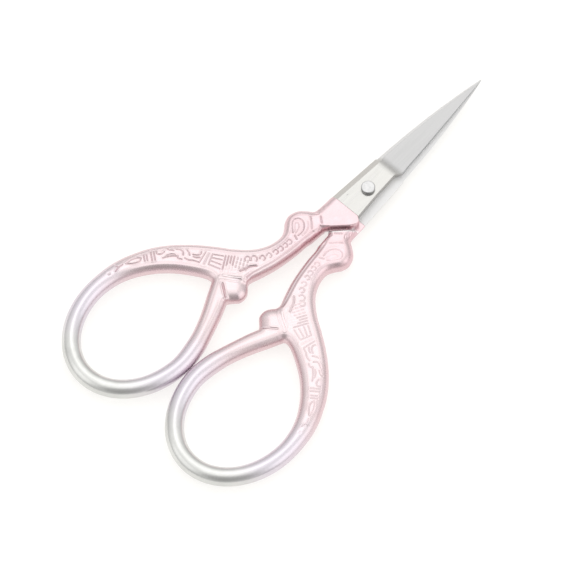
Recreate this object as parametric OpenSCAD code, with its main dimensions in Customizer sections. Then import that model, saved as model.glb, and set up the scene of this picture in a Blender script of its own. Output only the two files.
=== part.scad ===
/* [Blade] */
// Distance from the pivot to the tips
blade_reach = 38.4; // [37.6:0.1:42]
// Thickness of each blade just past the ricasso
blade_thick = 1.3; // [1:0.05:1.6]
// Thickness of each blade at its tip
tip_thick = 0.8; // [0.6:0.05:1]
// Width of the ground cutting bevel
bevel_w = 1.1; // [0.6:0.05:1.3]

/* [Ricasso] */
// Thickness of each ricasso, the flat part around the pivot
ricasso_thick = 2.05; // [1.8:0.05:2.2]
// Width of the bevel along the ricasso's cutting side
ricasso_bevel = 1.7; // [1:0.1:1.9]
// Gap that each half keeps from the plane where the halves meet
lap_gap = 0.015; // [0.005:0.005:0.05]

/* [Handles] */
// Half of a handle's full thickness
handle_half = 2.1; // [2.05:0.05:2.3]
// How far the rounding of a handle's edges reaches in from its outline
edge_round = 2.0; // [1.6:0.05:2.05]
// Radius of the flattened ball where a shank joins its bow
ball_r = 2.6; // [2.2:0.05:2.7]

/* [Pivot] */
// Radius of the screw's shank
shank_r = 1.2; // [1:0.05:1.3]
// Running clearance around the shank in the front blade
running_gap = 0.03; // [0.01:0.01:0.1]
// Radius of the button that the shank's end is formed into
button_r = 1.55; // [1.4:0.05:1.8]
// Height of the button above the front blade
button_h = 0.85; // [0.7:0.05:1.4]
// Radius of the slotted head
head_r = 2.1; // [1.8:0.05:2.4]
// Height of the slotted head
head_h = 1.1; // [0.9:0.05:1.4]

/* [Hidden] */

$fn = 64;

// Every outline below is drawn for the front half turned over, as [distance from the
// centre line on the handle's side, distance along the scissors]; place_front() and
// place_back() put it where it belongs.

// Where the casting ends and bare steel begins
cast_end = -6.5;
// Lower half of a bow: concentric ellipses for the outline and the finger hole
bow_centre = [15.23, -57.5];
bow_radii = [15.17, 18.45];
hole_radii = [10.92, 14.25];
// Outer side of a handle, from beside the pivot over the lobe and shank to the bow
outer_side = [
    [4.9, -5.4], [5.1, -9], [5.35, -11.5], [6.7, -12.6], [8.2, -14], [8.95, -16.1],
    [8.5, -17.9], [7.45, -19.4], [6.8, -20.8], [6.8, -22.6], [7.55, -25], [9.3, -27.6],
    [12.3, -30.2], [15.2, -32.1], [18.8, -34.7], [21.9, -37.4], [24.4, -40.1],
    [26.4, -42.9], [27.9, -45.8], [29.1, -48.7], [30, -52.3]];
// Side that faces the other handle, from the bow up to the crossing
inner_side = [
    [0.55, -53], [1.45, -49.8], [2.5, -46.6], [3.5, -43.7], [4.6, -41.2], [5.7, -38.8],
    [5.6, -36.6], [4.6, -34.3], [3.5, -31.4], [2.5, -28.2], [1.8, -24.8], [1.3, -21.2],
    [0.95, -17.8]];
// Blank end of the casting: it is trimmed off, so it only has to be wide and round
blank_end = [
    [-1, -14.8], [-4.6, -12.2], [-7.2, -8.4], [-7.6, -4], [-5.5, 0.6], [-0.9, 3.2], [3.6, 0.8]];
// Upper half of the finger hole, from the outer side over its narrow end
hole_top = [
    [25.6, -53.6], [24.5, -50.6], [22.9, -47.9], [20.9, -45.4], [18.3, -43], [15.2, -40.9],
    [12.6, -39.5], [10.9, -39.2], [10.2, -40.3], [9.1, -42.6], [7.6, -45.6], [6.2, -48.9],
    [5.15, -52.3]];
// Edge of the half-thick lap, from beside the ricasso down to the crotch
lap_edge = [[-2.9, -2], [-2.9, cast_end], [-3.9, -7.2], [-4, -8.2], [-3.5, -9.5], [-0.1, -12.9],
            [0.65, -14], [0.8, -17]];
// Line along which a handle steps up from half to full thickness
shoulder = [[8, -5.87], [1.2, -13], [-1.2, -15.5]];
// Middle of the flattened ball
ball_at = [5.2, -37.55];
// Reach of the cuts that trim the blank, past its end on every side
far = 12;
// Steps in each piece of a smooth curve, in a bow's half ellipse, and in a quarter of the
// rounding
curve_steps = 5;
arc_steps = 12;
round_steps = 4;

// Ricasso outline: cutting side, then the side that lies towards the other half's lap
ricasso_cut_side = [[4.95, cast_end], [4.1, 7.2]];
ricasso_back_side = [[-2.05, 7.2], [-2.1, 5.3], [-2.33, 0.3], [-2.9, cast_end]];
// How far the tip of each blade lies to its own cutting side
tip_x = 0.1;
// The cutting edge is an arc from its heel to the tip, bowed out by a little
edge_heel = [4.02, 7.1];
edge_bow = 0.58;
// The blade's back, from its small step beyond the ricasso to the tip
blade_back = [
    [-2.05, edge_heel.y - 0.4], [-2.35, 7.2], [-2.82, 8.1], [-2.7, 9.2], [-2.55, 10.6], [-2.28, 15],
    [-1.87, 20], [-1.45, 25], [-0.97, 30], [-0.6, 34], [-0.3, 36.8], [tip_x, blade_reach]];
// Height of the blunt edge left below the ricasso's bevel
edge_land = 0.35;
// The ramp between ricasso and blade
ramp_start = 5.7;
ramp_run = 3.2;
ramp_steps = 16;
// Tang inside the casting
tang = [[3.1, cast_end], [3, -9], [4.6, -14.6], [2.9, -18.4], [2.3, -14.6], [-1, -9],
        [-1.6, cast_end]];
tang_z = [0.6, 1.4];
// Slot in the screw's head
slot_w = 0.6;
slot_deep = 0.5;
// Rounding of the button's rim and of the head's rim
button_round = 0.25;
head_round = 0.3;

steel = "#C9CACB";
paint = "#E5B4BC";

// Point at t between b and c on a smooth curve that runs a, b, c, d
function curve_point(a, b, c, d, t) =
    0.5 * (2 * b + (c - a) * t + (2 * a - 5 * b + 4 * c - d) * t * t
           + (3 * b - a - 3 * c + d) * t * t * t);

// Smooth closed curve through the points
function closed_curve(p) = [
    for (i = [0 : len(p) - 1], k = [0 : curve_steps - 1])
        curve_point(p[(i + len(p) - 1) % len(p)], p[i], p[(i + 1) % len(p)],
                    p[(i + 2) % len(p)], k / curve_steps)];

// Points on the lower half of an ellipse, from its right end to its left end
function lower_arc(centre, radii) = [
    for (i = [0 : arc_steps])
        centre + [radii.x * cos(180 * i / arc_steps), -radii.y * sin(180 * i / arc_steps)]];

// The curve moved sideways by d, towards its right-hand side
function shifted(p, d) = [
    for (i = [0 : len(p) - 1])
        let (along = p[(i + 1) % len(p)] - p[(i + len(p) - 1) % len(p)])
            p[i] + d * [along.y, -along.x] / norm(along)];

handle_outline = closed_curve(
    concat(outer_side, lower_arc(bow_centre, bow_radii), inner_side, blank_end));
hole_outline = closed_curve(
    concat(lower_arc(bow_centre, hole_radii), [for (i = [len(hole_top) - 1 : -1 : 0]) hole_top[i]]));

// Stacked copies of an outline: each ring is [height, sideways shift]
module loft(outline, rings) {
    n = len(outline);
    last = len(rings) - 1;
    points = [for (r = rings) for (p = shifted(outline, r[1])) [p.x, p.y, r[0]]];
    side = [for (k = [0 : last - 1], i = [0 : n - 1])
        let (j = (i + 1) % n, a = k * n + i, b = k * n + j)
            each [[a, b, a + n], [b, b + n, a + n]]];
    bottom = [for (i = [n - 1 : -1 : 0]) i];
    top = [for (i = [0 : n - 1]) last * n + i];
    polyhedron(points, concat(side, [bottom, top]), convexity = 8);
}

// Rings of a rounded edge, from the lower face to the upper face
function round_rings(inward) = [
    for (i = [-round_steps : round_steps])
        let (turn = 90 * i / round_steps)
            [handle_half * sin(turn), inward * edge_round * (1 - cos(turn))]];

module casting_blank() {
    difference() {
        loft(handle_outline, round_rings(1));
        finger_hole();
    }
    translate([ball_at.x, ball_at.y, 0]) scale([1, 1, handle_half / ball_r])
        sphere(r = ball_r, $fn = 32);
}

module finger_hole() {
    flare = round_rings(-1);
    loft(hole_outline, concat([[-handle_half - 1, flare[0][1]]], flare,
                              [[handle_half + 1, flare[2 * round_steps][1]]]));
}

// Prism over an outline, between two heights
module slab(outline, low, high) {
    translate([0, 0, low]) linear_extrude(high - low) polygon(outline);
}

// What is taken off the blank: the far side of the lap's edge, the underside of the lap
// up to the shoulder, and everything past the line where bare steel begins
module crossing_cuts() {
    tall = 2 * handle_half;
    slab(concat(lap_edge, [[-far, lap_edge[7].y], [-far, lap_edge[0].y]]), -tall, tall);
    slab(concat(shoulder, [[-far, shoulder[2].y], [-far, far], [shoulder[0].x, far]]),
         -tall, lap_gap);
    slab([[-far, cast_end], [far, cast_end], [far, far], [-far, far]], -tall, tall);
}

// One handle with the pocket that its blade's tang fills; resize() keeps its size and makes
// it one faceted shell
module handle() {
    resize([0, 0, 0]) difference() {
        casting_blank();
        crossing_cuts();
        slab(tang, tang_z[0], tang_z[1]);
    }
}

// The side view of ricasso and blade: a flat, a ramp that eases in and out, and a taper to
// the tip
module side_profile() {
    middle = (ricasso_thick + blade_thick) / 2;
    half_drop = (ricasso_thick - blade_thick) / 2;
    ramp = [for (i = [0 : ramp_steps])
        let (turn = 180 * i / ramp_steps)
            [ramp_start + ramp_run * i / ramp_steps, middle + half_drop * cos(turn)]];
    rotate([90, 0, 90]) slab(
        concat([[cast_end, lap_gap], [cast_end, ricasso_thick]], ramp,
               [[blade_reach + 1, tip_thick], [blade_reach + 1, lap_gap]]), -6, 6);
}

// Wedge that cuts the bevel along the ricasso's cutting side
module ricasso_wedge() {
    run = ricasso_cut_side[1] - ricasso_cut_side[0];
    rise = ricasso_thick - edge_land;
    translate(ricasso_cut_side[1]) rotate(atan2(run.y, run.x) - 90)
        translate([0, 2, 0]) rotate([90, 0, 0]) linear_extrude(norm(run) + 4)
            polygon([[0, edge_land], [3, edge_land], [3, edge_land + 2 * rise],
                     [-2 * ricasso_bevel, edge_land + 2 * rise]]);
}

module ricasso() {
    difference() {
        intersection() {
            slab(concat(ricasso_cut_side, ricasso_back_side), 0, 2 * ricasso_thick);
            side_profile();
        }
        ricasso_wedge();
    }
}

// A cone whose rim is the cutting edge and whose slope is the ground bevel
module edge_cone() {
    tip = [tip_x, blade_reach];
    chord = tip - edge_heel;
    half = norm(chord) / 2;
    edge_r = (half * half + edge_bow * edge_bow) / (2 * edge_bow);
    outward = [chord.y, -chord.x] / norm(chord);
    centre = (tip + edge_heel) / 2 - (edge_r - edge_bow) * outward;
    translate([centre.x, centre.y, 0])
        cylinder(r1 = edge_r, r2 = edge_r - 2 * bevel_w, h = 2 * blade_thick, $fn = 720);
}

module cutting_part() {
    intersection() {
        slab(concat([[6, blade_reach], [6, edge_heel.y - 0.4]], blade_back), 0, 2 * blade_thick);
        side_profile();
        edge_cone();
    }
}

// One blade with its ricasso and tang; the tang lies inside the casting
module blade(bore_r) {
    difference() {
        union() {
            ricasso();
            cutting_part();
            slab(tang, tang_z[0], tang_z[1]);
        }
        translate([0, 0, -1]) cylinder(r = bore_r, h = ricasso_thick + 2);
    }
}

// Quarter circle that rounds the outer edge of a disc of radius r, from its side to its top
function rim(r, top, round) = [
    for (i = [0 : 6]) [r - round + round * cos(15 * i), top - round + round * sin(15 * i)]];

module place_front() { mirror([1, 0, 0]) children(); }
module place_back() { mirror([0, 0, 1]) children(); }

module front_blade() {
    color(steel) place_front() blade(shank_r + running_gap);
}

module back_blade() {
    color(steel) place_back() blade(shank_r);
}

module front_handle() {
    color(paint) place_front() handle();
}

module back_handle() {
    color(paint) place_back() handle();
}

// Slotted head under the back blade, shank through both, and its end formed into a button
module pivot_screw() {
    button_base = ricasso_thick + running_gap;
    color("#D8D8D6") {
        translate([0, 0, button_base]) rotate_extrude()
            polygon(concat([[0, 0], [button_r, 0]], rim(button_r, button_h, button_round),
                           [[0, button_h]]));
        translate([0, 0, -ricasso_thick]) cylinder(r = shank_r, h = button_base + ricasso_thick);
        difference() {
            translate([0, 0, -ricasso_thick]) mirror([0, 0, 1]) rotate_extrude()
                polygon(concat([[0, 0], [head_r, 0]], rim(head_r, head_h, head_round),
                               [[0, head_h]]));
            translate([-head_r - 1, -slot_w / 2, -ricasso_thick - head_h - 1])
                cube([2 * head_r + 2, slot_w, slot_deep + 1]);
        }
    }
}

front_blade();
back_blade();
front_handle();
back_handle();
pivot_screw();
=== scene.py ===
"""Looks of a small pair of ornamental scissors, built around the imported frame."""
import math

import bpy
import numpy as np
import openvdb
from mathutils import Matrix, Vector


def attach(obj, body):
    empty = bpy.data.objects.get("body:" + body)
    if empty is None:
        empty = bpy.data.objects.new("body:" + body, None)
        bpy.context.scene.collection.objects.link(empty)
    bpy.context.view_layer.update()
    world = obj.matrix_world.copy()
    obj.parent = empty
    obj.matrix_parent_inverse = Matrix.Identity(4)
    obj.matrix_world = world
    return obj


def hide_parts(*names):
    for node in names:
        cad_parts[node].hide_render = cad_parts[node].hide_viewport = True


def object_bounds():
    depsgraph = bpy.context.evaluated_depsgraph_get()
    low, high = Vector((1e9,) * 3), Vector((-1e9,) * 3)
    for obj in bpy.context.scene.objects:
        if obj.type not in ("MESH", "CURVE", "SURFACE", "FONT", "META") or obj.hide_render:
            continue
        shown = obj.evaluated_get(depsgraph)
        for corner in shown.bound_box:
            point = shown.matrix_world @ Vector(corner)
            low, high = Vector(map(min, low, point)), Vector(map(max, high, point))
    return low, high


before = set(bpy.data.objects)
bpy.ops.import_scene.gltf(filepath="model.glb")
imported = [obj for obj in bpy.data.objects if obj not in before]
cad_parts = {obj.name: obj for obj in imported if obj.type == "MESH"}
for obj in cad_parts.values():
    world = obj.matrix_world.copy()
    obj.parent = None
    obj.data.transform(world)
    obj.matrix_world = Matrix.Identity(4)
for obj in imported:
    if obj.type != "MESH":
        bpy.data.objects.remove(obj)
CAD_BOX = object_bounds()
MM = 0.001

# ---------------------------------------------------------------- the handles' shape
# As in the CAD model, everything on a handle is drawn once, in millimetres, for the front
# half turned over: [distance from the centre line on the handle's side, distance along].

BOW_CENTRE = (15.23, -57.5)
BOW_RADII = (15.17, 18.45)
HOLE_RADII = (10.92, 14.25)
OUTER_SIDE = [
    (4.9, -5.4), (5.1, -9), (5.35, -11.5), (6.7, -12.6), (8.2, -14), (8.95, -16.1),
    (8.5, -17.9), (7.45, -19.4), (6.8, -20.8), (6.8, -22.6), (7.55, -25), (9.3, -27.6),
    (12.3, -30.2), (15.2, -32.1), (18.8, -34.7), (21.9, -37.4), (24.4, -40.1),
    (26.4, -42.9), (27.9, -45.8), (29.1, -48.7), (30, -52.3)]
INNER_SIDE = [
    (0.55, -53), (1.45, -49.8), (2.5, -46.6), (3.5, -43.7), (4.35, -41.6), (4.6, -40.8),
    (3.8, -39.8), (2.85, -38.8), (2.55, -37.6), (2.75, -36.4), (3.4, -35.4), (4.1, -34.6),
    (4.25, -33.5), (3.5, -31.4), (2.5, -28.2), (1.8, -24.8), (1.3, -21.2), (0.95, -17.8)]
BLANK_END = [
    (-1, -14.8), (-4.6, -12.2), (-7.2, -8.4), (-7.6, -4), (-5.5, 0.6), (-0.9, 3.2), (3.6, 0.8)]
HOLE_TOP = [
    (25.6, -53.6), (24.5, -50.6), (22.9, -47.9), (20.9, -45.4), (18.3, -43), (15.2, -40.9),
    (12.6, -39.5), (10.9, -39.2), (10.2, -40.3), (9.1, -42.6), (7.6, -45.6), (6.2, -48.9),
    (5.15, -52.3)]
# Where the casting ends against the steel
CAST_END = -6.5
# The outer edge of the half-thick lap, with the points that close off what is outside it, and
# the shoulder where the full thickness begins, with those that close off the thin side
LAP_EDGE = [(-2.9, -2), (-2.9, CAST_END), (-3.9, -7.2), (-4, -8.2), (-3.5, -9.5), (-0.1, -12.9),
            (0.65, -14), (0.93, -17.7)]
LAP_OUTSIDE = [(-12, -17.7), (-12, -2)]
# Along the handle, where the lap's own rounding begins, and where it widens to the shank's
LAP_ROUNDS, LAP_MEETS_SHANK = (-7.4, -9.5), (-12.2, -14)
SHOULDER = [(8, -5.87), (1.2, -13), (-1.2, -15.5)]
SHOULDER_INSIDE = [(-12, -15.5), (-12, 12), (8, 12)]
SHOULDER_BLEND = 0.12
# Half of the space between the two halves' flat faces
LAP_GAP = 0.015
HALF_THICK = 2.1
BALL = (5.2, -37.55)
BALL_R = 2.6
# Where the arms turn from flat on top to round: the bow as a whole along the handle, and
# sooner its inner arm, which is nearer to the centre line than the ornamented one
BOW_TURNS_ROUND = (-36, -53)
INNER_ARM_TURNS_ROUND, INNER_ARM_SIDE = (-39.5, -43), (14, 10.5)
# Over what distance from the ball's middle the rounding changes to the ball's
BALL_TURNS_ROUND = (BALL_R + 0.8, BALL_R - 0.6)
# How far the edge rounding reaches in: on the front of the shank's inner side, on its other
# edges, on the bow, on the lap, and on the lap beside the steel
SHANK_ROUND, WIDE_ROUND, BOW_ROUND, LAP_ROUND, STEEL_ROUND = 1.45, 2.05, 2.25, 0.6, 0.1
# and how much further than on the bow it reaches on the ball
BALL_EXTRA = 0.6
# Strength of the ornament on the drawing's back, which is the face that the back half shows
BACK_RELIEF = 0.55
# Height of the lips that the ornament's lines push up beside them, against their depth
LIP = 0.3
# How much lower the ornament's ground lies than the border, how far in from the edges it comes
# down to that level, and between what places along the handle
GROUND = 0.07
GROUND_INSET, GROUND_FROM, GROUND_TO = (1.15, 1.6), (-13, -15), (-51, -47)
# How far in from the edges the ornament fades
ORNAMENT_INSET = (0.2, 0.7)
# Between what places along the handle the other half rubs the paint off
RUBBED_FROM, RUBBED_TO = (-8.2, -9.2), (-14.2, -13.4)

# The grid that the handles' surface is taken from: its cells' size, its half height, its
# margin past the outline, and its inner end
CELL = 0.09
GRID_HALF = 2.8
GRID_MARGIN = 0.6
GRID_START = -4.4
# Steepness of the shape's field, which keeps it near to a distance
FIELD_SLOPE = 1.9
CURVE_STEPS = 5


def curve_point(a, b, c, d, t):
    """Point at t between b and c on a smooth curve that runs a, b, c, d."""
    return 0.5 * (2 * b + (c - a) * t + (2 * a - 5 * b + 4 * c - d) * t ** 2
                  + (3 * b - a - 3 * c + d) * t ** 3)


def closed_curve(points, steps):
    """A smooth closed curve through the points, as a loop of short straight runs."""
    p = np.array(points, float)
    n = len(p)
    return np.array([curve_point(p[i - 1], p[i], p[(i + 1) % n], p[(i + 2) % n], k / steps)
                     for i in range(n) for k in range(steps)])


def open_curve(points, steps):
    """A smooth curve through the points, as short straight runs."""
    p = np.array(points, float)
    p = np.vstack([2 * p[0] - p[1], p, 2 * p[-1] - p[-2]])
    inner = [curve_point(p[i - 1], p[i], p[i + 1], p[i + 2], k / steps)
             for i in range(1, len(p) - 2) for k in range(steps)]
    return np.array(inner + [p[-2]])


def lower_arc(radii, count=12):
    """The far half of an ellipse round the bow's centre, from the outer side to the inner."""
    turns = np.linspace(0, math.pi, count + 1)
    return [(BOW_CENTRE[0] + radii[0] * math.cos(t), BOW_CENTRE[1] - radii[1] * math.sin(t))
            for t in turns]


def segment_distance(x, y, a, b):
    """Distance to the straight run from a to b."""
    run = b - a
    along = ((x - a[0]) * run[0] + (y - a[1]) * run[1]) / (run @ run)
    along = np.clip(along, 0, 1)
    return np.hypot(x - a[0] - along * run[0], y - a[1] - along * run[1])


def loop_distance(x, y, loop):
    """Distance to a closed outline, negative inside it."""
    near = np.full(x.shape, 1e9, np.float32)
    inside = np.zeros(x.shape, bool)
    for a, b in zip(loop, np.roll(loop, -1, axis=0)):
        near = np.minimum(near, segment_distance(x, y, a, b))
        if a[1] != b[1]:
            crosses = (a[1] > y) != (b[1] > y)
            inside ^= crosses & (x < a[0] + (y - a[1]) * (b[0] - a[0]) / (b[1] - a[1]))
    return np.where(inside, -near, near).astype(np.float32)


def smooth_min(a, b, blend):
    """The smaller of two fields, with the corner between them rounded."""
    h = np.clip(0.5 + 0.5 * (b - a) / blend, 0, 1)
    return b + (a - b) * h - blend * h * (1 - h)


def smooth_max(a, b, blend):
    return -smooth_min(-a, -b, blend)


def smooth_step(low, high, value):
    """0 up to low and 1 from high, smoothly between; low may be the greater of the two."""
    t = np.clip((value - low) / (high - low), 0, 1)
    return t * t * (3 - 2 * t)


# ---------------------------------------------------------------- the handles' ornament

class Relief:
    """Raised and sunken lines on a face, as heights over the plan grid."""

    def __init__(self, x, y):
        self.x, self.y = x, y
        self.height = np.zeros(x.shape, np.float32)
        self.lips = np.zeros(x.shape, np.float32)

    def line(self, points, width, height, steps=6):
        """A smooth line through the points; its height is negative for a groove."""
        path = open_curve(points, steps) if len(points) > 2 else np.array(points, float)
        low, high = path.min(0) - 2 * width, path.max(0) + 2 * width
        i = slice(*np.searchsorted(self.x[:, 0], [low[0], high[0]]))
        j = slice(*np.searchsorted(self.y[0], [low[1], high[1]]))
        x, y = self.x[i, j], self.y[i, j]
        if not x.size:
            return
        near = np.full(x.shape, 1e9)
        for a, b in zip(path, path[1:]):
            near = np.minimum(near, segment_distance(x, y, a, b))
        mark = height * np.exp(-(near / (0.5 * width)) ** 2)
        old = self.height[i, j]
        self.height[i, j] = np.minimum(old, mark) if height < 0 else np.maximum(old, mark)
        lip = LIP * abs(height) * np.exp(-((near - width) / (0.45 * width)) ** 2)
        self.lips[i, j] = np.maximum(self.lips[i, j], lip)

    def dot(self, centre, radius, height):
        """A round boss, or a pit if its height is negative."""
        near = np.hypot(self.x - centre[0], self.y - centre[1])
        mark = height * np.exp(-(near / radius) ** 2)
        self.height += mark.astype(np.float32)


def lobe_ornament(relief):
    """Lines beside the crossing, and nested loops on the lobe."""
    line = relief.line
    line([(3.1, -12.1), (1.9, -13.1)], 0.28, -0.16)
    line([(4.8, -13.6), (3.7, -14.5), (2.6, -15.6)], 0.28, -0.16)
    line([(1.65, -13.9), (1.3, -14.6)], 0.35, -0.16)
    for x, y in ((4.2, -9.6), (4.3, -10.8), (3.9, -11.9)):
        line([(x, y), (x + 0.35, y - 0.5)], 0.28, -0.16)
    line([(3.1, -18.2), (3.05, -16.9), (3.5, -15.8), (4.4, -14.9)], 0.3, -0.12)
    line([(3.7, -18.8), (3.75, -17.2), (4.4, -16.1), (5.4, -15.5), (6.4, -15.7), (6.95, -16.5),
          (6.8, -17.3), (5.9, -18.3), (5, -19.1)], 0.28, -0.18)
    line([(4.55, -18.7), (4.7, -17.6), (5.3, -16.75), (5.95, -16.6), (6.2, -17.1), (5.6, -17.9),
          (4.9, -18.6)], 0.26, -0.14)
    line([(3.35, -19.7), (4.2, -19.3)], 0.34, -0.2)
    line([(4.1, -17.6), (4.9, -16.2), (6.2, -15.95), (6.6, -17), (5.6, -18.4)], 0.9, -0.1)


def chain_ornament(relief):
    """A chain of open rings down the neck, beside a border line."""
    half_turn = 125
    # Each ring's centre, radius, depth, and the way that its closed side faces, in degrees
    rings = [((4.1, -21.3), 0.55, 0.17, 95), ((4.2, -22.5), 0.5, 0.187, 92),
             ((4.4, -23.8), 0.55, 0.204, 90), ((4.65, -25.1), 0.52, 0.221, 80),
             ((5.15, -26.7), 0.55, 0.17, 75), ((5.8, -28.15), 0.58, 0.221, 70),
             ((7, -29.55), 0.72, 0.204, 55), ((8.05, -30.5), 0.6, 0.204, 45)]
    for centre, radius, depth, facing in rings:
        turns = np.radians(np.linspace(facing - half_turn, facing + half_turn, 7))
        relief.line([(centre[0] + radius * math.cos(t), centre[1] + radius * math.sin(t))
                     for t in turns], 0.27, -depth)
        relief.dot(centre, 0.3, 0.08)
    relief.line([(1.9, -16), (2.35, -19.5), (2.75, -23), (3.35, -26.8), (4.25, -30), (4.95, -32.4),
                 (5.2, -34.4)], 0.45, -0.2)


def panel_ornament(relief):
    """A hatched wedge, cross lines, and a striped panel between bars."""
    line = relief.line
    line([(5.5, -30.4), (6.4, -31.4), (6.9, -32.6), (7.4, -33.9), (8, -35), (8.6, -35.5), (9.4, -36)],
         0.4, -0.27)
    along, across = np.array([-0.42, -0.76]), np.array([-0.72, 0.3])
    for row in range(4):
        for place in range(4 - row // 2):
            start = np.array([9.85, -31.6]) + place * along * 1.12 + row * across
            line([start, start + 0.62 * along], 0.28, -0.16)
    for k in range(4):
        line([(10.55 + 0.52 * k, -31.9 - 0.4 * k), (8.3 + 0.6 * k, -35.8 - 0.25 * k)], 0.25, -0.2)
    for start, end in (((12.4, -33.5), (14.5, -34.8)), ((12, -34.35), (14, -35.5)),
                       ((11.45, -35.4), (13.7, -36.2)), ((10.9, -36.3), (13.5, -37.15)),
                       ((14.5, -34.8), (13.5, -37.15))):
        line([start, end], 0.26, -0.18)
    line([(15.25, -35.1), (14.3, -37.8)], 0.5, -0.15)
    line([(16, -35.3), (15.3, -38.2)], 0.26, -0.18)


def scroll_ornament(relief):
    """Hooks and scrolls round the shoulder of the bow, then bars, a leaf and a fork."""
    strokes = [
        [(16.7, -35.9), (16.45, -36.5), (16.8, -37.2), (17.6, -37.7)],
        [(16, -37.2), (16.6, -37.8), (17.2, -38)],
        [(15.4, -38.2), (16.5, -38.65), (17.2, -39.2), (18.3, -39.5)],
        [(18, -38.3), (18.6, -37.9), (19.3, -37.7)],
        [(18.6, -40.15), (19.4, -40.5), (19.9, -40.1)],
        [(19.1, -39.2), (19.7, -38.6), (20.5, -38.7), (21.2, -39.1)],
        [(21.4, -39.8), (22.2, -40.3), (22.8, -40.3)],
        [(19.9, -40.3), (20.8, -41.1), (21.5, -42), (21.9, -42.7)],
        [(20.5, -40.3), (21.2, -40.8), (21.75, -41.8)],
        [(22.7, -41.4), (22.85, -42.3), (23.5, -42.8), (24.2, -42.4)],
        [(22.75, -44.2), (24.5, -42.9)],
        [(23.1, -44.8), (24.9, -43.4)],
        [(23.95, -45.4), (25.15, -44.5)],
        [(24.3, -45.9), (25.6, -44.95)],
        [(25.4, -45.9), (25.15, -46.7), (25.6, -47.8), (26.3, -48.6), (26.9, -49.1)],
        [(25.6, -46), (26.3, -46.8), (26.8, -47.9), (26.95, -49)],
        [(27.35, -49.8), (27.5, -50.8), (27.3, -52)],
        [(27.55, -50.9), (28.3, -51)]]
    for points in strokes:
        relief.line(points, 0.27, -0.2)
    relief.dot((27.95, -53.4), 0.35, -0.18)


def root_ornament(relief):
    """Lines across the shank above the ball, and the crease between the ball and the bow."""
    relief.line([(5.7, -35.35), (7, -36.3), (8.2, -37), (9.4, -37.7)], 0.42, -0.34)
    relief.line([(6, -34.8), (7.4, -35.8), (9.4, -36.9)], 0.5, 0.16)
    relief.line([(8.1, -38.5), (7, -39.3), (6, -40), (5.4, -40.4)], 0.4, -0.25)


# ---------------------------------------------------------------- from shape to mesh

def edge_reaches(x, y, outside, to_ball):
    """How far the edge rounding reaches in at each place, on the front and on the back."""
    # The bow is round all over, its ornamented arm and the shank are flat on top
    round_bow = smooth_step(*INNER_ARM_TURNS_ROUND, y) * smooth_step(*INNER_ARM_SIDE, x)
    round_bow = np.maximum(round_bow, smooth_step(*BOW_TURNS_ROUND, y))
    on_ball = smooth_step(*BALL_TURNS_ROUND, to_ball)
    round_bow = np.maximum(round_bow, on_ball)
    # On the front the shank's inner side is rounded less than its outer side; to_inner is the
    # same as -outside wherever the inner side is the nearest edge
    inner_side = open_curve(INNER_SIDE, CURVE_STEPS)
    to_inner = np.full(x.shape, 1e9)
    for a, b in zip(inner_side, inner_side[1:]):
        to_inner = np.minimum(to_inner, segment_distance(x, y, a, b))
    tight = smooth_step(0.5, 0.1, to_inner + outside)
    return [shank + (BOW_ROUND - shank) * round_bow + BALL_EXTRA * on_ball
            for shank in (WIDE_ROUND - (WIDE_ROUND - SHANK_ROUND) * tight, WIDE_ROUND)]


def ornament_height(x, y, inset, to_ball):
    """Height of the ornament and its ground against the plain face, over the plan."""
    relief = Relief(x, y)
    for lay in (lobe_ornament, chain_ornament, panel_ornament, scroll_ornament, root_ornament):
        lay(relief)
    height = relief.height + relief.lips * smooth_step(-0.1, -0.02, relief.height)
    # The ornament stays off the rounded edges, and its ground, which runs from the crossing
    # to the bow and stops short of the ball, lies a little lower than the border
    height *= smooth_step(*ORNAMENT_INSET, -inset)
    ground = -GROUND * smooth_step(*GROUND_INSET, -inset)
    ground *= smooth_step(BALL_R, BALL_R + 1, to_ball)
    ground *= smooth_step(*GROUND_TO, y) * smooth_step(*GROUND_FROM, y)
    return np.where(height > 0, height + ground, np.minimum(height, ground))


def rubbed_paint(along, height, lap, under):
    """Where paint is rubbed off by the other half."""
    lap_foot = smooth_step(0.3, 0.1, np.abs(lap)) * smooth_step(0.95, 0.6, height)
    flat_face = smooth_step(0.1, 0.04, np.abs(height - LAP_GAP)) * (under < 0)
    shoulder = smooth_step(0.36, 0.22, np.abs(under)) * smooth_step(-1.0, -1.5, height)
    rubbed = np.maximum(np.maximum(lap_foot, flat_face), shoulder)
    return rubbed * smooth_step(*RUBBED_FROM, along) * smooth_step(*RUBBED_TO, along)


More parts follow.
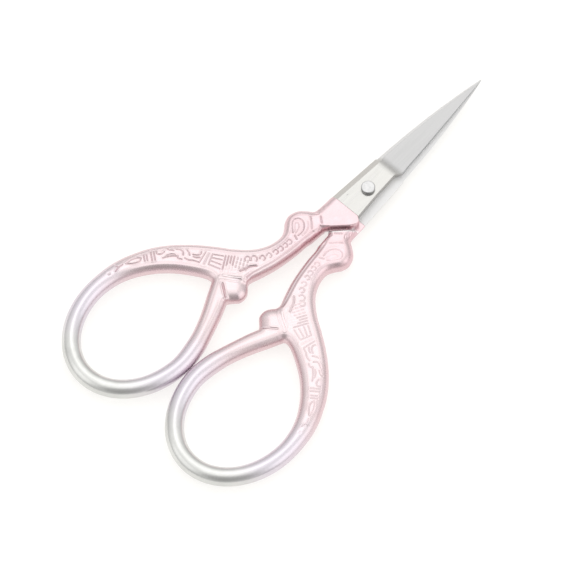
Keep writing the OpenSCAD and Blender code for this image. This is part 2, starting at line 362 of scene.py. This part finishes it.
def handle_surface():
    """One handle as a surface: vertices in millimetres, faces, and marks for each vertex."""
    handle = closed_curve(OUTER_SIDE + lower_arc(BOW_RADII) + INNER_SIDE + BLANK_END, CURVE_STEPS)
    hole = closed_curve(lower_arc(HOLE_RADII) + HOLE_TOP[::-1], CURVE_STEPS)
    low = np.array([GRID_START, handle[:, 1].min() - GRID_MARGIN])
    high = np.array([handle[:, 0].max() + GRID_MARGIN, CAST_END + 0.5])
    axes = [np.arange(low[k], high[k], CELL, dtype=np.float32) for k in (0, 1)]
    x, y = np.meshgrid(*axes, indexing="ij")
    z = np.arange(-GRID_HALF, GRID_HALF + CELL, CELL, dtype=np.float32) + LAP_GAP - 0.5 * CELL

    # Distance from the outer outline and from the finger hole, negative inside the handle
    outside, in_hole = loop_distance(x, y, handle), -loop_distance(x, y, hole)
    to_ball = np.hypot(x - BALL[0], y - BALL[1])
    ornament = ornament_height(x, y, np.maximum(outside, in_hole), to_ball)

    # How far out each place is on the rounding of the outline, the hole or the lap's edge:
    # 1 at the edge itself, 0 where the rounding ends
    lap = loop_distance(x, y, np.array(LAP_EDGE + LAP_OUTSIDE, float))
    lap_reach = STEEL_ROUND + (LAP_ROUND - STEEL_ROUND) * smooth_step(*LAP_ROUNDS, y)
    lap_reach += (SHANK_ROUND - LAP_ROUND) * smooth_step(*LAP_MEETS_SHANK, y)
    across = [np.maximum(np.maximum(1 + outside / reach, 1 + in_hole / BOW_ROUND),
                         np.maximum(1 - lap / lap_reach, 0))[:, :, None]
              for reach in edge_reaches(x, y, outside, to_ball)]
    across = np.where(z > 0, *across)
    # The back is struck more softly than the front
    tall = HALF_THICK + ornament[:, :, None] * np.where(z > 0, 1, BACK_RELIEF)
    body = FIELD_SLOPE * (np.sqrt(across ** 2 + (z / tall) ** 2) - 1)

    under = loop_distance(x, y, np.array(SHOULDER + SHOULDER_INSIDE, float))
    body = smooth_max(body, np.minimum(LAP_GAP - z, -under[:, :, None]), SHOULDER_BLEND)
    body = np.maximum(body, (y - CAST_END)[:, :, None])

    grid = openvdb.FloatGrid(background=1.0)
    grid.copyFromArray(np.ascontiguousarray(body, np.float32))
    points, triangles, quads = grid.convertToPolygons(0.0, 0.0)
    start = np.array([axes[0][0], axes[1][0], z[0]])
    points = points * CELL + start
    cell = ((points - start)[:, :2] / CELL).round().astype(int)
    cell = tuple(np.clip(cell, 0, np.array(x.shape) - 1).T)
    height = points[:, 2]
    depth = ornament[cell] * smooth_step(0.5, 1.6, np.abs(height))
    depth *= np.where(height > 0, 1, BACK_RELIEF)
    rubbed = rubbed_paint(points[:, 1], height, lap[cell], under[cell])
    return points, triangles, quads, {"relief": depth, "rubbed": rubbed}


def mesh_piece(name, points, triangles, quads, marks, flip):
    """A mesh from a surface, turned over along one axis, which reverses its faces."""
    points = points * np.where(np.arange(3) == flip, -MM, MM)
    faces = [f[::-1] for f in triangles.tolist()] + [f[::-1] for f in quads.tolist()]
    mesh = bpy.data.meshes.new(name)
    mesh.from_pydata(points, [], faces)
    for key, values in marks.items():
        layer = mesh.attributes.new(key, "FLOAT", "POINT")
        layer.data.foreach_set("value", values.astype(np.float32))
    mesh.shade_smooth()
    piece = bpy.data.objects.new(name, mesh)
    bpy.context.scene.collection.objects.link(piece)
    return piece


# ---------------------------------------------------------------- materials

def add_node(tree, kind, inputs, settings):
    """A shader node; each of its inputs is a socket to link from, or a constant."""
    node = tree.nodes.new("ShaderNode" + kind)
    for key, value in settings.items():
        setattr(node, key, value)
    for key, value in dict(inputs).items():
        if isinstance(value, bpy.types.NodeSocket):
            tree.links.new(value, node.inputs[key])
        else:
            node.inputs[key].default_value = value
    return node


class Shader:
    """A node material, made node by node."""

    def __init__(self, name):
        self.material = bpy.data.materials.new(name)
        self.material.use_nodes = True
        self.tree = self.material.node_tree
        self.tree.nodes.clear()
        self.place = self.make("TexCoord").outputs["Object"]
        self.axes = self.make("SeparateXYZ", {0: self.place}).outputs

    def make(self, kind, inputs=(), **settings):
        return add_node(self.tree, kind, inputs, settings)

    def ease(self, value, low, high, start=0.0, end=1.0):
        """Value mapped smoothly from [low, high] to [start, end]."""
        return self.make("MapRange", {0: value, 1: low, 2: high, 3: start, 4: end},
                         interpolation_type="SMOOTHSTEP").outputs[0]

    def math(self, operation, a, b=0.0):
        return self.make("Math", {0: a, 1: b}, operation=operation).outputs[0]

    def noise(self, scale, detail=3.0, rough=0.55, stretch=None):
        place = self.place
        if stretch:
            place = self.make("VectorMath", {0: place, 1: stretch}, operation="MULTIPLY").outputs[0]
        return self.make("TexNoise", {"Vector": place, "Scale": scale, "Detail": detail,
                                      "Roughness": rough}).outputs["Fac"]

    def levelness(self):
        """1 where the surface faces straight up or down, 0 on an upright side."""
        normal = self.make("NewGeometry").outputs["Normal"]
        return self.math("ABSOLUTE", self.make("SeparateXYZ", {0: normal}).outputs["Z"])

    def mix(self, factor, a, b):
        return self.make("Mix", {0: factor, 6: a, 7: b}, data_type="RGBA").outputs[2]

    def finish(self, colour, rough, bump=None, **fixed):
        sockets = {key.replace("_", " "): value for key, value in fixed.items()}
        sockets |= {"Base Color": colour, "Roughness": rough}
        if bump:
            height, strength, distance = bump
            sockets["Normal"] = self.make("Bump", {"Height": height, "Strength": strength,
                                                   "Distance": distance}).outputs["Normal"]
        surface = self.make("BsdfPrincipled", sockets)
        self.make("OutputMaterial", {"Surface": surface.outputs[0]})
        return self.material


def grey(value):
    return (value, value, value, 1.0)


# Colours, and the places where they change
PALE_ROSE, DEEP_ROSE = (0.79, 0.672, 0.684, 1), (0.765, 0.585, 0.612, 1)
MAUVE, LAVENDER = (0.79, 0.665, 0.72, 1), (0.74, 0.70, 0.79, 1)
DARK_SILVER, PALE_SILVER = (0.68, 0.685, 0.665, 1), (0.76, 0.765, 0.745, 1)
# Painted shade for the ornament's grooves, then the paler rose of its crests
GROOVE_SHADE_ROSE, CREST_ROSE = (0.50, 0.36, 0.38, 1), (0.93, 0.86, 0.87, 1)
# Painted shade for the paint's upright sides
SHADED_SIDE_ROSE = (0.94, 0.855, 0.87, 1)
# Where along Y the paint's colours change, in metres: silver to pink, with lavender between,
# and pale to deep rose
PINK_FROM = (-0.074, -0.046)
LAVENDER_FROM, LAVENDER_TO = (-0.073, -0.063), (-0.047, -0.059)
DEEP_FROM = (-0.030, -0.015)
# The polished root's colour, and a painted shade for its sloped faces
ROOT_STEEL, ROOT_SLOPE_SHADE = (0.59, 0.585, 0.565, 1), (0.50, 0.485, 0.465, 1)
# Where along Y the blade's polished root gives way to the brushed blade and its ground strip,
# and how close to the plane between the blades their inner faces are, in metres
ROOT_TO, STRIP_FROM, INNER_FACE = (0.0088, 0.0062), (0.0075, 0.0085), (0.0003, 0.0001)
# Turning marks on the screw, in radians per metre from its axis
TURNING = 24000.0
# Height of all the fine bumps, in metres
BUMP = 0.00002


def paint():
    """Pearly metallic paint: pink, fading through lavender to silver at the bows' far ends."""
    s = Shader("pearl_paint")
    patchy = s.noise(140.0, 2.0)
    along = s.math("ADD", s.axes["Y"], s.math("MULTIPLY", s.math("SUBTRACT", patchy, 0.5), 0.006))
    pink = s.ease(along, *PINK_FROM)
    violet = s.math("MULTIPLY", s.ease(along, *LAVENDER_FROM), s.ease(along, *LAVENDER_TO))

    # Rosier toward the crossing, in soft patches, with mauve mottling
    rosy = s.math("ADD", s.math("MULTIPLY", s.ease(s.noise(260.0, 3.0), 0.35, 0.7), 0.3),
                  s.math("MULTIPLY", s.ease(s.axes["Y"], *DEEP_FROM), 0.7))
    rose = s.mix(rosy, PALE_ROSE, DEEP_ROSE)
    rose = s.mix(s.ease(s.noise(650.0, 3.0), 0.45, 0.75, 0.0, 0.4), rose, MAUVE)
    silver = s.mix(s.ease(s.noise(210.0, 3.0), 0.35, 0.7), DARK_SILVER, PALE_SILVER)
    colour = s.mix(pink, silver, rose)
    colour = s.mix(s.math("MULTIPLY", violet, 0.7), colour, LAVENDER)

    # Painted shade darkens the ornament's grooves; the ornament is paler on its crests, and bare
    # where it is rubbed
    depth = s.make("Attribute", attribute_name="relief").outputs["Fac"]
    groove, crest = s.ease(depth, -0.03, -0.22), s.ease(depth, 0.02, 0.12)
    # Painted shade in the ornament's grooves
    colour = s.mix(s.math("MULTIPLY", groove, 0.5), colour, GROOVE_SHADE_ROSE)
    colour = s.mix(s.math("MULTIPLY", crest, 0.4), colour, CREST_ROSE)
    rubbed = s.make("Attribute", attribute_name="rubbed").outputs["Fac"]
    scuffed = s.math("MULTIPLY", rubbed, s.ease(s.noise(900.0, 3.0), 0.25, 0.45))
    colour = s.mix(scuffed, colour, grey(0.8))
    # Painted shade on the sides, which come out darker than the faces, the more so where it is pink
    side = s.ease(s.levelness(), 0.99, 0.6)
    side_shade = s.mix(side, grey(1.0), s.mix(pink, grey(0.94), SHADED_SIDE_ROSE))
    colour = s.make("VectorMath", {0: colour, 1: side_shade}, operation="MULTIPLY").outputs[0]

    fleck = s.noise(5200.0, 2.0)
    rough = s.math("ADD", s.ease(fleck, 0.3, 0.75, 0.2, 0.26), s.math("MULTIPLY", pink, 0.06))
    grain = s.math("ADD", fleck, s.math("MULTIPLY", s.noise(1500.0, 2.0), 0.8))
    return s.finish(colour, rough, bump=(grain, 0.05, BUMP), Metallic=0.9, Coat_Weight=0.2,
                    Coat_Roughness=0.2)


def steel():
    """Blade: a polished root, a brushed blade, and a fine ground strip beside its edge."""
    s = Shader("blade_steel")
    brush = s.noise(900.0, 3.0, 0.6, stretch=(1.0, 0.06, 1.0))
    root = s.ease(s.axes["Y"], *ROOT_TO)
    level = s.levelness()
    sloped = s.ease(level, 0.97, 0.9)
    colour = s.mix(s.ease(brush, 0.3, 0.7), grey(0.49), grey(0.56))
    colour = s.mix(root, colour, ROOT_STEEL)
    # Painted shade on the root's sloped faces
    colour = s.mix(s.math("MULTIPLY", sloped, root), colour, ROOT_SLOPE_SHADE)
    strip = s.math("MULTIPLY", sloped, s.ease(s.axes["Y"], *STRIP_FROM))
    strip = s.math("MULTIPLY", strip, s.ease(level, 0.3, 0.5))
    colour = s.mix(strip, colour, grey(0.68))
    pits = s.ease(s.noise(1300.0, 1.0), 0.74, 0.80)
    colour = s.mix(s.math("MULTIPLY", s.math("MULTIPLY", pits, root), 0.5), colour, grey(0.25))
    # The faces on which the blades slide are rougher and less metallic, with a painted highlight in
    # their light grey
    inner = s.ease(s.math("ABSOLUTE", s.axes["Z"]), *INNER_FACE)
    colour = s.mix(inner, colour, grey(0.8))
    rough = s.math("ADD", s.ease(brush, 0.3, 0.7, 0.32, 0.42), s.math("MULTIPLY", root, -0.12))
    rough = s.math("ADD", rough, s.math("MULTIPLY", inner, 0.15))
    metallic = s.math("SUBTRACT", 1.0, s.math("MULTIPLY", inner, 0.55))
    grain = s.math("MULTIPLY", brush, s.math("SUBTRACT", 1.0, s.math("MULTIPLY", root, 0.7)))
    return s.finish(colour, rough, bump=(grain, 0.10, BUMP), Metallic=metallic)


def polished():
    """Screw: steel with fine turning marks, with painted shade on the upright sides of its heads."""
    s = Shader("screw_steel")
    wear = s.noise(1600.0, 3.0)
    side = s.ease(s.levelness(), 0.75, 0.35)
    colour = s.mix(s.ease(wear, 0.35, 0.7), grey(0.54), grey(0.62))
    # Painted shade on the upright sides of the heads
    colour = s.mix(side, colour, grey(0.30))
    flat_place = s.make("VectorMath", {0: s.place, 1: (1, 1, 0)}, operation="MULTIPLY").outputs[0]
    radius = s.make("VectorMath", {0: flat_place}, operation="LENGTH").outputs["Value"]
    turned = s.math("SINE", s.math("MULTIPLY", radius, TURNING))
    marks = s.math("ADD", s.math("MULTIPLY", turned, 0.3), wear)
    return s.finish(colour, s.ease(wear, 0.3, 0.75, 0.16, 0.26), bump=(marks, 0.12, BUMP),
                    Metallic=1.0)


def backdrop():
    """Matt white floor, lifted to the white of the surroundings."""
    s = Shader("backdrop")
    speck = s.noise(30.0, 2.0)
    return s.finish(s.mix(speck, grey(0.42), grey(0.44)), s.ease(speck, 0, 1, 0.7, 0.8),
                    Emission_Color=(1.0, 0.985, 0.955, 1), Emission_Strength=0.68)


# ---------------------------------------------------------------- pieces

surface = handle_surface()
paint_finish = paint()
# The drawing becomes the front half when turned over along X, and the back half along Z
for half, flip in (("front", 0), ("back", 2)):
    handle = mesh_piece(half + "_casting", *surface, flip)
    handle.data.materials.append(paint_finish)
    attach(handle, half + "_half")
    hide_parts(half + "_handle")


# Corners flatter than SAME_FLAT are joined into one face, and those sharper than HARD_EDGE
# are rounded
WELD_DISTANCE = 1e-6
SAME_FLAT, HARD_EDGE = math.radians(0.6), math.radians(22)


def soften(node, width, material):
    """Small rounds on a CAD node's hard edges, and its own finish."""
    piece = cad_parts[node]
    piece.modifiers.new("weld", "WELD").merge_threshold = WELD_DISTANCE
    flats = piece.modifiers.new("flats", "DECIMATE")
    flats.decimate_type = "DISSOLVE"
    flats.angle_limit = SAME_FLAT
    bevel = piece.modifiers.new("bevel", "BEVEL")
    bevel.width = width * MM
    bevel.segments = 2
    bevel.limit_method = "ANGLE"
    bevel.angle_limit = HARD_EDGE
    bevel.use_clamp_overlap = True
    piece.modifiers.new("normals", "WEIGHTED_NORMAL").weight = 80
    for slot in piece.material_slots:
        slot.material = material


steel_finish = steel()
for half in ("front", "back"):
    soften(half + "_blade", 0.08, steel_finish)
soften("pivot_screw", 0.06, polished())

# ---------------------------------------------------------------- camera, floor and light

AZIMUTH, ELEVATION = math.radians(42.16), math.radians(64.614)
AIM = Vector((2.561, -29.056, 0)) * MM
DISTANCE = 871.25 * MM

ahead = Vector((-math.sin(AZIMUTH), math.cos(AZIMUTH), 0))
to_camera = -ahead * math.cos(ELEVATION) + Vector((0, 0, math.sin(ELEVATION)))
camera = bpy.data.objects.new("camera", bpy.data.cameras.new("camera"))
camera.data.lens = 250
camera.data.sensor_width = 36
camera.data.clip_start = 0.01
camera.location = AIM + to_camera * DISTANCE
camera.rotation_euler = (math.pi / 2 - ELEVATION, 0, AZIMUTH)
bpy.context.scene.collection.objects.link(camera)
bpy.context.scene.camera = camera

FLOOR_HALF = 1.5
floor_z = CAD_BOX[0].z
floor_mesh = bpy.data.meshes.new("floor")
floor_mesh.from_pydata([(x * FLOOR_HALF, y * FLOOR_HALF, floor_z) for x, y in
                        ((-1, -1), (1, -1), (1, 1), (-1, 1))], [], [(0, 1, 2, 3)])
floor_mesh.materials.append(backdrop())
floor = bpy.data.objects.new("floor", floor_mesh)
bpy.context.scene.collection.objects.link(floor)


def sky():
    """A white room: bright overhead, dimmer low down, and dark where a camera would stand."""
    world = bpy.data.worlds.new("room")
    world.use_nodes = True
    bpy.context.scene.world = world
    tree = world.node_tree
    tree.nodes.clear()

    def make(kind, inputs=(), **settings):
        return add_node(tree, kind, inputs, settings)

    way = make("TexCoord").outputs["Generated"]

    def lobe(toward, inner, outer, start, end):
        """From end at inner degrees off a direction, or nearer, to start at outer degrees off."""
        aim = make("VectorMath", {0: way, 1: Vector(toward).normalized()}, operation="DOT_PRODUCT")
        return make("MapRange", {0: aim.outputs["Value"], 1: math.cos(math.radians(outer)),
                                 2: math.cos(math.radians(inner)), 3: start, 4: end},
                    interpolation_type="SMOOTHSTEP").outputs[0]

    def combine(operation, a, b):
        return make("Math", {0: a, 1: b}, operation=operation).outputs[0]

    right = Vector((math.cos(AZIMUTH), math.sin(AZIMUTH), 0))
    overhead = lobe((0, 0, 1), 25, 88, 0.66, 1.0)
    near = Vector((0, 0, 0.66)) - ahead * 0.75
    light = combine("MULTIPLY", overhead, lobe(near, 2, 38, 1.0, 0.42))
    # Softboxes beyond the scissors, over them, and on either side: the way to each as
    # [right, ahead, up], the angles at which it is full and at which it ends, its strength
    boxes = (((0.08, 0.56, 0.82), 8, 30, 0.42), ((-0.1, 0.12, 0.98), 5, 28, 0.38),
             ((-0.8, -0.27, 0.54), 6, 28, 0.4), ((0.82, -0.3, 0.49), 8, 32, 0.6))
    for place, inner, outer, strength in boxes:
        toward = right * place[0] + ahead * place[1] + Vector((0, 0, place[2]))
        light = combine("ADD", light, lobe(toward, inner, outer, 0.0, strength))
    back = make("Background", {"Color": (1.0, 0.995, 0.99, 1), "Strength": light})
    make("OutputWorld", {"Surface": back.outputs[0]})


sky()
bpy.context.scene.view_settings.view_transform = "Standard"
